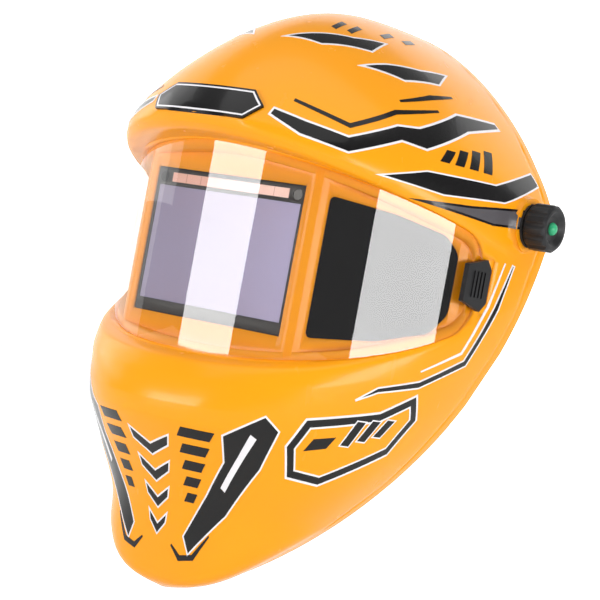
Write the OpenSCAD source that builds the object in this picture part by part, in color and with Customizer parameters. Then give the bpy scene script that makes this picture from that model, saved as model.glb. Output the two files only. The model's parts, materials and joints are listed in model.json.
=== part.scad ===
// Welding helmet with a flip-up shell, a panoramic cover lens, an auto-darkening filter and ratchet headgear.
// The front faces -Y, +X is the wearer's left and +Z is up. The origin is the centre of the headband
// ring, at the height of the middle of its side rails.

/* [Shell] */
// Width over the cheeks
shell_w = 232; // [226:1:240]
// Crown above the origin
crown_h = 100; // [96:1:108]
// Chin lip below the origin
chin_drop = 230; // [222:1:240]
// Brow in front of the origin
brow_reach = 200; // [196:1:206]
// Chin crease in front of the origin
chin_reach = 196; // [192:1:202]
// Chin lip in front of the origin
lip_reach = 163; // [158:1:168]
// Height of the brow's widest point above the origin
brow_z = 18.5; // [17:0.5:22]
// Depth of the chin crease below the origin
crease_drop = 132.6; // [128:0.2:138]
// Gap from the origin forward to the rear rim
rim_gap = 14; // [10:1:18]
// Run of the rear edge forward from the pivots to the chin
edge_run = 117; // [112:1:122]
// Wall of the shell
shell_t = 2.5; // [2:0.1:2.8]

/* [Cover lens] */
// Half width of the lens in plan
lens_a = 112; // [110:0.5:113]
// Depth of the lens in plan, from its centre to its front
lens_b = 120; // [118:0.5:122]
// Centre of the lens plan, in front of the origin
lens_back = 59; // [57:0.5:61]
// Angle from the middle of the lens to each end
lens_sweep = 82.5; // [80:0.5:83]
// Top edge at the middle
lens_top = 7.4; // [5:0.2:9]
// Bottom edge at the middle, below the origin
lens_drop = 102.6; // [100:0.2:105]
// Fall of the top edge towards the ends
lens_fall = 24; // [22:0.5:27]
// Rise of the bottom edge towards the ends
lens_rise = 33; // [30:0.5:35]
// Radius of the end corners
lens_corner = 13; // [10:0.5:14]
// Thickness of the polycarbonate
lens_t = 2; // [1.5:0.1:2.4]

/* [Visor pan] */
// Front wall of the pan, in front of the origin
pan_front = 161; // [158:0.5:163]
// Rear end of the angled side wall, sideways from the origin
pan_rear_x = 106; // [104:0.5:107]
// Rear end of the angled side wall, in front of the origin
pan_rear_y = 79; // [76:0.5:82]
// Ledge that the cover lens lies on
ledge_w = 4; // [3:0.5:5]

/* [Filter] */
// Width of the filter cartridge
adf_w = 108; // [104:0.5:110]
// Height of the filter cartridge
adf_h = 90; // [86:0.5:92]
// Depth of the filter cartridge
adf_d = 18; // [14:0.5:22]
// Bezel at each side of the liquid-crystal window
bezel_side = 5.5; // [5:0.5:8]
// Bezel above the window, which holds the solar strip
bezel_top = 15.3; // [14.5:0.1:17]
// Bezel below the window, which holds the buttons
bezel_bottom = 12.3; // [12:0.1:14]
// Diameter of the adjusting knobs on the cartridge
dial_d = 12; // [10:0.5:13]

/* [Pivot] */
// Pivot axis in front of the origin
pivot_y = 42; // [38:0.5:46]
// Pivot axis below the origin
pivot_drop = 4; // [2:0.5:6]
// Diameter of the pivot bolts
bolt_d = 10; // [8:0.5:11]
// Diameter of the tension knobs
knob_d = 26; // [24:0.5:30]
// Length of the tension knobs
knob_l = 14; // [12:0.5:18]
// Flutes round each tension knob
knob_flutes = 12; // [10:1:14]
// Travel of the shell from lowered to raised, in degrees
flip_angle = 55; // [45:1:60]

/* [Headgear] */
// Half width of the head ring
head_a = 78; // [74:0.5:80]
// Half length of the head ring
head_b = 97; // [92:0.5:100]
// Thickness of the bands
band_t = 2.4; // [2:0.1:3]
// Height of the forehead band
band_h = 30; // [26:1:34]
// Rise of the crown strap above the origin
strap_rise = 74; // [68:1:76]
// Width of the crown strap
strap_w = 16; // [12:1:17]
// Height of the side rails
rail_h = 16; // [14:0.5:18]
// Diameter of the ratchet knob
ratchet_d = 44; // [38:1:48]
// Teeth of the ratchet pinion
pinion_teeth = 12; // [10:1:14]
// Tooth pitch of the pinion and its racks
rack_pitch = 3.2; // [2.8:0.1:3.6]

/* [Hidden] */

// Running clearance between pieces that slide, and seat clearance between pieces that rest on each other
gap = 0.3;
fit = 0.05;
half_w = shell_w / 2;
lens_front = lens_back + lens_b;
lens_bottom = -lens_drop;
pivot_z = -pivot_drop;
adf_z = (lens_top + lens_bottom) / 2;
adf_front = pan_front - shell_t - 0.2;
pan_half = adf_w / 2 + 5;
lcd_w = adf_w - 2 * bezel_side;
lcd_h = adf_h - bezel_top - bezel_bottom;
round_steps = 36;
dome_steps = 12;

function mix(a, b, f) = a + (b - a) * f;
function unit(v) = v / max(norm(v), 1e-9);
function side_name(s) = s > 0 ? "left" : "right";

// ---- shell loft ----
// Half width and depth of the rear edge at height z
function edge_x(z) = z > 0
    ? half_w * pow(max(0, 1 - pow(z / crown_h, 1.38)), 0.64)
    : half_w * pow(max(0, 1 - pow(-z / (chin_drop + 0.6), 2.49)), 0.742);
function edge_y(z) = z > 0
    ? -rim_gap - 5 * min(1, z / 30)
    : -rim_gap - edge_run * (0.44 * -z / chin_drop + 0.56 * pow(z / chin_drop, 2));

// A station is [front z, front y, rear z, power of cos, power of sin, power of the rise to the rear].
// The chin runs up to its crease, the shelf up to the lens, the visor behind the lens, then the brow
// rolls out over it and the dome closes at the crown.
chin = [
    [-chin_drop, -lip_reach + 8, -chin_drop + 2.6, 0.93, 0.87, 2],
    [-chin_drop + 5, -lip_reach, -chin_drop + 25.6, 0.63, 0.7, 2],
    [-chin_drop + 19, -lip_reach - 2.5, -chin_drop + 44.5, 0.72, 0.72, 2],
    [-chin_drop + 44, -lip_reach - 7.5, -chin_drop + 55, 0.8, 0.86, 2],
    [-crease_drop - 31, -chin_reach + 16, -crease_drop - 8, 0.84, 0.9, 2],
    [-crease_drop - 10, -chin_reach + 3, -124, 0.88, 0.9, 2],
    [-crease_drop - 3, -chin_reach + 0.6, -115, 0.9, 0.9, 2],
    [-crease_drop + 3, -chin_reach + 0.3, -106, 0.9, 0.9, 2]];
shelf = [
    [lens_bottom - 14, -lens_front - 14, -76, 0.88, 0.88, 2.2],
    [lens_bottom - 6, -lens_front - 10, -56, 0.88, 0.88, 2.2],
    [lens_bottom - 3.4, -lens_front - 6.5, -50, 0.88, 0.88, 2.2],
    [lens_bottom - 1, -lens_front - 0.5, -44, 0.88, 0.88, 2.2]];
visor = [
    [mix(lens_bottom, lens_top, 0.4), -lens_front - 0.5, -36, 0.88, 0.88, 1.9],
    [lens_top + 1, -lens_front - 0.5, -29, 0.88, 0.88, 1.6]];
brow = [
    [lens_top + 1.6, -brow_reach + 10, -26, 0.88, 0.88, 1.6],
    [lens_top + 3, -brow_reach + 4.5, -22, 0.88, 0.88, 1.6],
    [brow_z - 5, -brow_reach + 1, -15, 0.89, 0.88, 1.6]];
function dome(f) = [
    mix(brow_z, crown_h, f),
    -rim_gap - 5 - (brow_reach - rim_gap - 5) * pow(1 - pow(f, 1.094), mix(0.36, 0.314, f)),
    mix(-6, crown_h, f), mix(0.9, 1, f), mix(0.9, 1, f), 1.6];
stations = concat(smooth(chin, 2), shelf, visor, brow,
    [for (i = [0:dome_steps]) dome(0.998 * sin(90 * i / dome_steps))]);

// Stations on a smooth curve through the given ones, with so many steps from each to the next
function smooth(list, steps) = let (last = len(list) - 1) concat([for (i = [0:last - 1], k = [0:steps - 1])
    let (f = k / steps, a = list[max(0, i - 1)], b = list[i], c = list[i + 1], d = list[min(last, i + 2)])
    0.5 * (2 * b + (c - a) * f + (2 * a - 5 * b + 4 * c - d) * f * f + (3 * b - a - 3 * c + d) * f * f * f)],
    [list[last]]);
function ring_point(s, q) = let (m = edge_y(s[2])) [
    sign(q) * edge_x(s[2]) * pow(abs(sin(q)), s[4]),
    m + (s[1] - m) * pow(max(0, cos(q)), s[3]),
    mix(s[0], s[2], pow(abs(q) / 90, s[5]))];
ring_angles = [for (i = [0:round_steps]) -90 + 180 * i / round_steps];
outer_rows = [for (s = stations) [for (q = ring_angles) ring_point(s, q)]];

// Rows of points moved inward by t along the surface normals
function near(rows, i, j) = rows[max(0, min(len(rows) - 1, i))][max(0, min(len(rows[0]) - 1, j))];
function inward(rows, t) = [for (i = [0:len(rows) - 1]) [for (j = [0:len(rows[0]) - 1])
    let (n = cross(near(rows, i, j + 1) - near(rows, i, j - 1), near(rows, i + 1, j) - near(rows, i - 1, j)))
    rows[i][j] - unit(n) * t]];
// A row carried on behind the rear edge
function run_out(row) = concat([row[0] + [0, 15, 0]], row, [row[len(row) - 1] + [0, 15, 0]]);
inner_rows = [for (row = inward(outer_rows, shell_t)) run_out(row)];

// Closed body through symmetric rows, each row closed by its chord
module lofted(rows) {
    r = len(rows);
    c = len(rows[0]);
    half = floor(c / 2) - 1;
    top = (r - 1) * c;
    walls = [for (i = [0:r - 2], j = [0:c - 1]) each
        let (k = (j + 1) % c, a = i * c, b = a + c) [[a + j, b + j, b + k], [a + j, b + k, a + k]]];
    floors = [for (j = [0:half]) each let (a = c - 1 - j, b = c - 2 - j)
        j + 1 < b ? [[j, j + 1, b], [j, b, a]] : j < b ? [[j, b, a]] : []];
    polyhedron([for (row = rows) each row],
        concat(walls, floors, [for (f = floors) [top + f[0], top + f[2], top + f[1]]]));
}

// ---- cover lens outline, over the angle q from the middle ----
degree = lens_a * PI / 180;
function lens_xy(q, off = 0) = [(lens_a + off) * sin(q), -lens_back - (lens_b + off) * cos(q)];
function lens_low(q) = lens_bottom + lens_rise * pow(abs(q) / 77, 2.2);
function lens_high(q) = lens_top - lens_fall * pow(abs(q) / 78, 1.6);
// How much a corner of radius r takes off at distance d from the end
function corner_cut(d, r) = d < r ? r - sqrt(max(0, r * r - (r - d) * (r - d))) : 0;
function lens_angles(e) = [for (i = [-17:17])
    abs(i) < 14 ? i * (e - 9) / 14 : sign(i) * (e - 9 * pow((17 - abs(i)) / 3, 2) * 0.999)];

// Plan of the pan: a flat front wall, two angled flat side walls and short returns to the lens ends
side_start = [pan_half, -pan_front + 3];
side_end = [pan_rear_x, -pan_rear_y];
side_dir = unit(side_end - side_start);
side_angle = atan2(side_dir[1], side_dir[0]);
side_len = norm(side_end - side_start);
side_normal = [side_dir[1], -side_dir[0]];
function pan_xy(q, depth = 0) = let (
    ray = [lens_a * abs(sin(q)), -lens_b * cos(q)],
    front = (pan_front - lens_back - depth) / max(-ray[1], 1e-6),
    side = (side_normal * (side_start + [0, lens_back]) - depth) / max(side_normal * ray, 1e-6),
    end = (pan_rear_x + 2 - depth) / max(ray[0], 1e-6),
    reach = pow(pow(front, -120) + pow(side, -120) + pow(end, -120), -1 / 120))
    [sign(q) * ray[0] * reach, -lens_back + ray[1] * reach];

// Slab between two plans, over the lens outline grown by g
module slab(near_plan, far_plan, g) {
    e = lens_sweep + g / degree;
    r = lens_corner + g;
    rows = [for (q = lens_angles(e)) let (cut = corner_cut((e - abs(q)) * degree, r),
        low = lens_low(q) - g + cut, high = lens_high(q) + g - cut, a = near_plan(q), b = far_plan(q))
        [[a[0], a[1], low], [b[0], b[1], low], [b[0], b[1], high], [a[0], a[1], high]]];
    n = 4 * len(rows);
    polyhedron([for (row = rows) each row], concat(
        [for (i = [0:4:n - 8], j = [0:3]) each let (k = (j + 1) % 4)
            [[i + j, i + k + 4, i + j + 4], [i + j, i + k, i + k + 4]]],
        [[0, 2, 1], [0, 3, 2], [n - 4, n - 3, n - 2], [n - 4, n - 2, n - 1]]));
}
// Recess for the lens and the pan behind it, each moved in by t and grown by g
module visor_recess(t, g, reach) {
    slab(function (q) lens_xy(q, -lens_t - t - 0.2), function (q) lens_xy(q, reach), g + 0.6);
    slab(function (q) pan_xy(q, t), function (q) lens_xy(q, 1), g - ledge_w);
}

// ---- frames that several pieces share ----
// On both sides, with the wearer's left as drawn
module both() for (s = [1, -1]) on_side(s) children();
module on_side(s) scale([s, 1, 1]) children();
// Along the pivot axis: +Z points away from the head
module at_pivot(x) translate([x, -pivot_y, pivot_z]) rotate([0, 90, 0]) children();
// On the pan's angled side wall: X runs to the rear, Z up, and the wall's face is at y = 0
module at_side_wall() translate([side_start[0], side_start[1], 0]) rotate([0, 0, side_angle]) children();
// At the lens end: X points out of the lens, Y to the rear
latch_lean = atan2(lens_a * cos(lens_sweep), lens_b * sin(lens_sweep));
latch_xy = lens_xy(lens_sweep);
latch_z = (lens_low(lens_sweep) + lens_high(lens_sweep)) / 2;
latch_travel = 4;
module at_latch() translate([latch_xy[0], latch_xy[1], latch_z]) rotate([0, 0, -latch_lean]) children();

// Side window outline on the side wall, in from the wall's ends, shrunk by g
win_front = 5;
win_rear = side_len - 8;
module window(g) offset(delta = -g) offset(r = 3) offset(delta = -3) polygon([
    [win_front, lens_low(34) + 12], [win_front, lens_high(34) - 12],
    [mix(win_front, win_rear, 0.5), lens_high(48) - 10], [win_rear - 9, lens_high(64) - 9],
    [win_rear, lens_high(72) - 14], [win_rear, lens_low(72) + 14],
    [win_rear - 9, lens_low(64) + 9], [mix(win_front, win_rear, 0.5), lens_low(48) + 10]]);
module window_plate(g, y, t) at_side_wall() translate([0, y, 0]) rotate([90, 0, 0]) linear_extrude(t) window(g);
window_rebate = 1.2;
glass_t = 2.5;

// Pivot stack, outward along x
pad_x = half_w + 1;
boss_x = 104;
washer_t = 1.2;
knob_x = pad_x + washer_t + 2 * 0.1;
knob_top = knob_x + knob_l;
stop_t = 3;
rail_x = 84;
rail_t = 3;
block_x = rail_x + rail_t + gap;
block_end = boss_x - gap - stop_t - 0.1;
stop_x = block_end + 0.1;
boss_r = bolt_d / 2 + 6;
peg_r = 3;
peg_orbit = boss_r + peg_r + 5;

// ---- shell ----
module shell_form() difference() {
    lofted(outer_rows);
    visor_recess(0, 0, 40);
    difference() {
        lofted(inner_rows);
        visor_recess(shell_t, shell_t, 60);
        // pivot bosses and the pegs that meet the tilt stops
        both() {
            at_pivot(boss_x) cylinder(h = 20, r = boss_r, $fn = 36);
            at_pivot(boss_x) rotate(-90) translate([peg_orbit, 0, 0]) cylinder(h = 20, r = peg_r, $fn = 20);
        }
    }
    // filter opening and the seat for the cartridge
    translate([0, -pan_front, adf_z]) cube([adf_w - 7, 20, adf_h - 11], center = true);
    translate([-adf_w / 2 - 0.3, -adf_front - 0.1, adf_z - adf_h / 2 - 0.3])
        cube([adf_w + 0.6, 30, adf_h + 0.6]);
    both() {
        window_plate(3.5, 20, 40);
        window_plate(-0.3, window_rebate, 12);
        // slot for the neck of the lens latch
        at_latch() translate([-16, -6.5, -5]) cube([20, 3 + latch_travel + 1, 10]);
        at_latch() translate([0, -14, -latch_h / 2 - 0.5]) cube([20, 19 + latch_travel, latch_h + 1]);
    }
}
module pivot_pad() at_pivot(half_w - 6) cylinder(h = pad_x - half_w + 6, r = boss_r + 4, $fn = 48);
module shell() color([0.98, 0.62, 0.1]) difference() {
    resize([2 * pad_x, 0, 0]) union() {
        shell_form();
        difference() {
            both() pivot_pad();
            lofted(inner_rows);
        }
    }
    both() at_pivot(boss_x - 5) cylinder(h = 30, r = bolt_d / 2 + fit, $fn = 64);
}

// ---- visor pieces ----
// Panoramic cover lens, notched at each end for the neck of its latch
module cover_lens() color([0.8, 0.9, 0.95, 0.35]) difference() {
    slab(function (q) lens_xy(q, -lens_t), function (q) lens_xy(q), 0);
    both() at_latch() translate([-10, -7, -5.2]) cube([20, 20, 10.4]);
}

// Black catch over the lens end: grip plate, neck through the shell and inner flange
latch_h = 28;
latch_l = 20;
latch_depth = 11.4;
module lens_latch(s) color([0.1, 0.1, 0.1]) on_side(s) at_latch() {
    translate([gap, 0, 0]) rotate([90, 0, 90]) linear_extrude(3)
        polygon([[4.5 - latch_l, -latch_h / 2 + 4], [0, -latch_h / 2], [4.5, -latch_h / 2 + 5],
            [4.5, latch_h / 2 - 5], [0, latch_h / 2], [4.5 - latch_l, latch_h / 2 - 4]]);
    for (i = [0:3]) translate([gap + 2.9, -10 + 3 * i, -7]) cube([0.9, 1.4, 14]);
    translate([-latch_depth, -6, -4.5]) cube([latch_depth + gap + 0.1, 3, 9]);
    translate([-latch_depth - 1.8, -6.4, -8]) cube([1.9, 5.8, 16]);
}

// Dark side window in its rebate, and the frame that holds it from behind
module side_window(s) color([0.03, 0.03, 0.04]) on_side(s)
    window_plate(0, window_rebate - 0.1, glass_t);
module side_frame(s) color([0.12, 0.12, 0.12]) on_side(s) difference() {
    window_plate(-1, shell_t + 0.3 + 2.2, 2.2);
    window_plate(5, 20, 40);
    at_latch() translate([-20, -14, -12]) cube([30, 30, 24]);
}

// ---- filter cartridge ----
lcd_z = adf_z + (bezel_bottom - bezel_top) / 2;
strip_w = adf_w - 28;
strip_h = 5.3;
strip_z = lcd_z + lcd_h / 2 + 4.6;
sensor_x = adf_w / 2 - 8.5;
adf_rear = -adf_front + adf_d;
dial_z = adf_z + adf_h / 2 - 7.5;
dial_x = [for (i = [0:2]) 20 - adf_w / 2 + 30 * i];
module at_rear(x, z, y = 0) translate([x, adf_rear + y, z]) rotate([-90, 0, 0]) children();

module adf_housing() color([0.12, 0.12, 0.13]) difference() {
    union() {
        translate([-adf_w / 2, -adf_front, adf_z - adf_h / 2]) cube([adf_w, adf_d, adf_h]);
        // bezel that stands in the pan's opening
        translate([-adf_w / 2 + 4, -pan_front + 0.6, adf_z - adf_h / 2 + 6])
            cube([adf_w - 8, shell_t + 1, adf_h - 12]);
    }
    // light path, with a wider seat for the glass and a recess for the inner cover
    translate([0, -adf_front, lcd_z]) cube([lcd_w - 5, 60, lcd_h - 5], center = true);
    translate([-lcd_w / 2, -pan_front - 1, lcd_z - lcd_h / 2]) cube([lcd_w, 5.2, lcd_h]);
    translate([-lcd_w / 2 - 3, adf_rear - 1.5, lcd_z - lcd_h / 2 - 1]) cube([lcd_w + 6, 5, lcd_h + 2]);
    translate([-strip_w / 2, -pan_front - 1, strip_z - strip_h / 2]) cube([strip_w, 2.4, strip_h]);
    for (s = [-1, 1]) translate([s * sensor_x, -pan_front - 1, strip_z]) rotate([-90, 0, 0])
        cylinder(h = 4, r = 3, $fn = 24);
    // sockets of the dials, the buttons and the battery trays
    for (x = dial_x) at_rear(x, dial_z, -4) cylinder(h = 10, r = 3 + fit, $fn = 32);
    for (x = button_x) at_rear(x, button_z, -4) cylinder(h = 10, r = 2.5 + gap, $fn = 24);
    both() translate([adf_w / 2 - tray_l, tray_y - 0.1, button_z - tray_h / 2 - 0.1])
        cube([tray_l + 1, tray_t + 0.2, tray_h + 0.2]);
}
module adf_glass() color([0.45, 0.45, 0.75])
    translate([-lcd_w / 2 + 0.1, -pan_front + 1.1, lcd_z - lcd_h / 2 + 0.1])
        cube([lcd_w - 0.2, 3, lcd_h - 0.2]);
module solar_strip() color([0.75, 0.5, 0.5])
    translate([-strip_w / 2 + 0.1, -pan_front + 0.6, strip_z - strip_h / 2 + 0.1])
        cube([strip_w - 0.2, 0.75, strip_h - 0.2]);
module arc_sensors() color([0.05, 0.05, 0.06]) for (s = [-1, 1])
    translate([s * sensor_x, -pan_front + 0.8, strip_z]) rotate([-90, 0, 0]) cylinder(h = 2.1, r = 2.9, $fn = 24);
module inner_cover() color([0.8, 0.9, 0.95, 0.35])
    translate([-lcd_w / 2 - 2.8, adf_rear - 1.4, lcd_z - lcd_h / 2 - 0.8])
        cube([lcd_w + 5.6, 1.1, lcd_h + 1.6]);

// Fluted dial with a stub shaft and a pointer
module dial(x) color([0.2, 0.2, 0.22]) at_rear(x, dial_z) {
    translate([0, 0, -3.5]) cylinder(h = 4, r = 3, $fn = 32);
    translate([0, 0, gap]) difference() {
        cylinder(h = 6, r = dial_d / 2, $fn = 36);
        for (a = [0:45:315]) rotate(a) translate([dial_d / 2 + 0.6, 0, -1]) cylinder(h = 8, r = 1.4, $fn = 16);
        translate([-0.5, -dial_d / 2, 5.2]) cube([1, dial_d / 2, 2]);
    }
}
// Push buttons under the window, for the self-test and the grinding mode
button_x = [-14, 14];
button_z = lcd_z - lcd_h / 2 - 6.9;
module push_button(x) color([0.7, 0.15, 0.1]) at_rear(x, button_z, -2.4) cylinder(h = 4.4, r = 2.5, $fn = 24);

// Battery trays in the ends of the cartridge, each with a coin cell on edge
tray_l = 26;
tray_h = 8;
tray_t = 5;
cell_d = 20;
tray_y = adf_rear - 2.4 - tray_t;
module battery_trays() color([0.2, 0.2, 0.22]) both()
    translate([adf_w / 2 - tray_l + gap, tray_y, button_z - tray_h / 2]) difference() {
        cube([tray_l - gap, tray_t, tray_h]);
        translate([2, 1.2, 1]) cube([cell_d + 0.2, tray_t, tray_h]);
    }
module battery_cells() color([0.75, 0.75, 0.78]) both() difference() {
    translate([adf_w / 2 - tray_l + gap + 2.1 + cell_d / 2, tray_y + 1.3, button_z - tray_h / 2 + 1.1 + cell_d / 2])
        rotate([-90, 0, 0]) cylinder(h = 3.2, r = cell_d / 2, $fn = 48);
    translate([0, tray_y - 5, button_z + tray_h / 2]) cube([adf_w, 20, 40]);
}

// Holder that clips round the cartridge behind the pan, with a lip behind its edges
holder_t = 2.2;
holder_h = adf_h + 2 * gap + 2 * holder_t;
lip = 1.5;
module adf_holder() color([0.16, 0.16, 0.17]) difference() {
    union() {
        translate([-adf_w / 2 + 6, -adf_front + 0.1, adf_z - holder_h / 2])
            cube([adf_w - 12, adf_d + lip, holder_h]);
        translate([-adf_w / 2 - gap - holder_t, -adf_front + 8, adf_z - holder_h / 2])
            cube([adf_w + 2 * gap + 2 * holder_t, adf_d - 8 + lip, holder_h]);
    }
    translate([-adf_w / 2 - gap, -adf_front - 1, adf_z - adf_h / 2 - gap])
        cube([adf_w + 2 * gap, adf_d + 1.1, adf_h + 2 * gap]);
    translate([0, adf_rear, adf_z]) cube([adf_w - 2 * lip, 10, adf_h - 2 * lip], center = true);
}

// ---- pivots ----
// Fluted tension knob with a dished face and a blind bore on the bolt
module tension_knob(s) color([0.08, 0.08, 0.08]) on_side(s) at_pivot(knob_x) difference() {
    rotate_extrude($fn = 72) polygon([
        [0, 0], [knob_d / 2 - 2, 0], [knob_d / 2, 2], [knob_d / 2, knob_l - 1.6], [knob_d / 2 - 1.6, knob_l],
        [knob_d / 2 - 3.4, knob_l], [knob_d / 2 - 6, knob_l - 2.2], [0, knob_l - 2.2]]);
    for (i = [1:knob_flutes]) rotate(360 * i / knob_flutes) translate([knob_d / 2 + 1.2, 0, -1])
        cylinder(h = knob_l + 2, r = 2.3, $fn = 24);
    translate([0, 0, -1]) cylinder(h = bolt_reach - knob_x + 1 + gap, r = bolt_d / 2 + fit, $fn = 64);
}
module knob_cap(s) color([0.1, 0.6, 0.35]) on_side(s) at_pivot(knob_x + knob_l - 2.2) rotate_extrude($fn = 48)
    polygon(concat([[0, 0]], [for (a = [0:15:75]) [3.6 * cos(a), 3 * sin(a)]], [[0, 3]]));
bolt_reach = knob_x + knob_l - 5;
// Bolt with a square head held in the slider
module pivot_bolt(s) color([0.15, 0.15, 0.16]) on_side(s) at_pivot(block_x + 0.1) {
    translate([-8, -8, 0]) cube([16, 16, 3]);
    cylinder(h = bolt_reach - block_x - 0.1, r = bolt_d / 2, $fn = 64);
}
module friction_washer(s) color([0.5, 0.5, 0.5]) on_side(s) at_pivot(pad_x + 0.1) difference() {
    cylinder(h = washer_t, r = boss_r + 1, $fn = 48);
    translate([0, 0, -1]) cylinder(h = 5, r = bolt_d / 2 + fit, $fn = 64);
}
// Round stop plate whose two lugs meet the shell's peg at the lowered and the raised end of its swing
peg_angle = asin((peg_r + gap + 2.5) / peg_orbit);
module tilt_stop(s) color([0.14, 0.14, 0.15]) on_side(s) at_pivot(stop_x) difference() {
    union() {
        cylinder(h = stop_t, r = boss_r + 2, $fn = 60);
        for (a = [-90 + peg_angle, -90 - flip_angle - peg_angle]) rotate(a) {
            translate([boss_r, -2.5, 0]) cube([peg_orbit - boss_r + 2, 5, stop_t]);
            translate([peg_orbit - 2, -2.5, 0]) cube([4, 5, stop_t + 3]);
        }
    }
    translate([0, 0, -1]) cylinder(h = 10, r = bolt_d / 2 + fit, $fn = 64);
}

// Slider that carries the bolt and hooks over the edges of the side rail
slider_l = 34;
slider_travel = 5;
module pivot_slider(s) color([0.12, 0.12, 0.12]) on_side(s) difference() {
    translate([0, -pivot_y + slider_l / 2, pivot_z]) rotate([90, 0, 0]) linear_extrude(slider_l) polygon([
        [rail_x - gap - 2, rail_h / 2 - 3], [rail_x - gap - 2, rail_h / 2 + 3], [block_end, rail_h / 2 + 3],
        [block_end, -rail_h / 2 - 3], [rail_x - gap - 2, -rail_h / 2 - 3], [rail_x - gap - 2, -rail_h / 2 + 3],
        [rail_x - gap, -rail_h / 2 + 3], [rail_x - gap, -rail_h / 2 - gap], [block_x, -rail_h / 2 - gap],
        [block_x, rail_h / 2 + gap], [rail_x - gap, rail_h / 2 + gap], [rail_x - gap, rail_h / 2 - 3]]);
    at_pivot(block_x) translate([-8.1, -8.1, -1]) cube([16.2, 16.2, 4.2]);
    at_pivot(block_x) cylinder(h = 40, r = bolt_d / 2 + fit, $fn = 64);
}

// ---- headgear ----
// Point on the head ring at angle a, moved out by off; -90 is the forehead
function ring_xy(a, off = 0) = [(head_a + off) * cos(a), (head_b + off) * sin(a)];
module ring_part(from, to, low = 0, t = band_t) polygon(concat(
    [for (i = [0:20]) ring_xy(mix(from, to, i / 20), low)],
    [for (i = [20:-1:0]) ring_xy(mix(from, to, i / 20), low + t)]));
module flat_both() for (s = [1, -1]) scale([s, 1]) children();

// Forehead band with a side rail moulded on each side
band_low = -8;
rail_front = pivot_y + slider_l / 2 + slider_travel + 6;
rail_rear = pivot_y - slider_l / 2 - slider_travel - 7;
// The crown strap stands over the rivets, ahead of the ears and clear of the raised shell's rear edge
strap_y = -6;
rivet_y = [-3.5, 3.5];
module at_strap() translate([0, strap_y, 0]) children();
module rivet_holes() for (y = rivet_y) translate([head_a - 8, y, pivot_z]) rotate([0, 90, 0])
    cylinder(h = 20, r = rivet_r + fit, $fn = 24);
rivet_r = 1.6;
rivet_head_r = 2.8;
module front_band() color([0.12, 0.12, 0.13]) difference() {
    union() {
        translate([0, 0, band_low]) linear_extrude(band_h) ring_part(-150, -30);
        translate([0, 0, pivot_z - rail_h / 2]) linear_extrude(rail_h) flat_both() {
            ring_part(-40, 16);
            translate([rail_x, -rail_front]) square([rail_t, rail_front - rail_rear]);
            polygon([ring_xy(-44, band_t - 0.5), [rail_x + 1, -rail_front], [rail_x + 1, -rail_front + 3.6],
                ring_xy(-41.5, band_t - 0.5)]);
            translate([head_a + 1, -rail_rear - 4]) square([rail_x - head_a, 4]);
        }
    }
    both() at_strap() rivet_holes();
}

// Padded sweatband inside the forehead band
pad_t = 8;
module sweatband() color([0.2, 0.2, 0.22]) translate([0, 0, band_low - 2]) linear_extrude(band_h + 4)
    ring_part(-146, -34, -pad_t - gap, pad_t);

// Crown strap in two halves that overlap on top: the upper half has a row of holes, the lower a peg
strap_t = 2;
strap_x = head_a - 1.2 - strap_t;
rivet_reach = head_a + band_t + fit - (strap_x - 1);
function strap_step(a, s) = s > 0 ? (strap_t + gap) * min(1, max(0, (a - 60) / 14)) : 0;
function strap_point(a, low) = [(strap_x + low) * cos(a), (strap_rise + low) * sin(a)];
module strap_half(s, to) rotate([90, 0, 0]) linear_extrude(strap_w, center = true) polygon(concat(
    [[strap_x, pivot_z - rail_h / 2]],
    [for (i = [0:22]) let (a = to * i / 22) strap_point(a, strap_step(a, s))],
    [for (i = [22:-1:0]) let (a = to * i / 22) strap_point(a, strap_step(a, s) + strap_t)],
    [[strap_x + strap_t, pivot_z - rail_h / 2]]));
module crown_strap(s) color([0.12, 0.12, 0.13]) on_side(s) at_strap() difference() {
    union() {
        strap_half(s, s > 0 ? 108 : 104);
        // peg on the middle line of the head, snapped through one of the holes
        if (s < 0) translate([0, 0, strap_rise + strap_t - 0.5]) {
            cylinder(h = strap_t + 2 * gap + 1, r = rivet_r, $fn = 24);
            translate([0, 0, strap_t + 2 * gap + 0.5]) cylinder(h = 1.4, r = rivet_head_r, $fn = 24);
        }
    }
    if (s > 0) for (x = [-14:7:14]) translate([x, 0, strap_rise - 6]) cylinder(h = 20, r = 1.9, $fn = 24);
    rivet_holes();
}
module strap_rivets() color([0.55, 0.55, 0.57]) both() at_strap() for (y = rivet_y)
    translate([strap_x - 1, y, pivot_z]) rotate([0, 90, 0]) {
        cylinder(h = 1, r = rivet_head_r, $fn = 24);
        cylinder(h = rivet_reach + 0.5, r = rivet_r, $fn = 24);
        translate([0, 0, rivet_reach]) cylinder(h = 0.9, r = rivet_head_r, $fn = 24);
    }

// ---- rear band and ratchet, tilted down towards the nape ----
rear_tilt = 14;
module at_nape() translate([0, 0, pivot_z]) rotate([-rear_tilt, 0, 0]) children();
pinion_r = pinion_teeth * rack_pitch / (2 * PI);
tooth_h = 0.28 * rack_pitch;
tail_t = 2;
tail_h = 2 * pinion_r + 9;
tail_start = 7.5;
tail_end = 72;
flat_y = ring_xy(tail_end)[1];
flat_x = ring_xy(tail_end)[0];
// The left tail lies in front of the right one where they cross in the housing
function tail_y(s) = flat_y - band_t + (s > 0 ? 0 : tail_t + gap);
rack_x = flat_x - 3;
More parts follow.
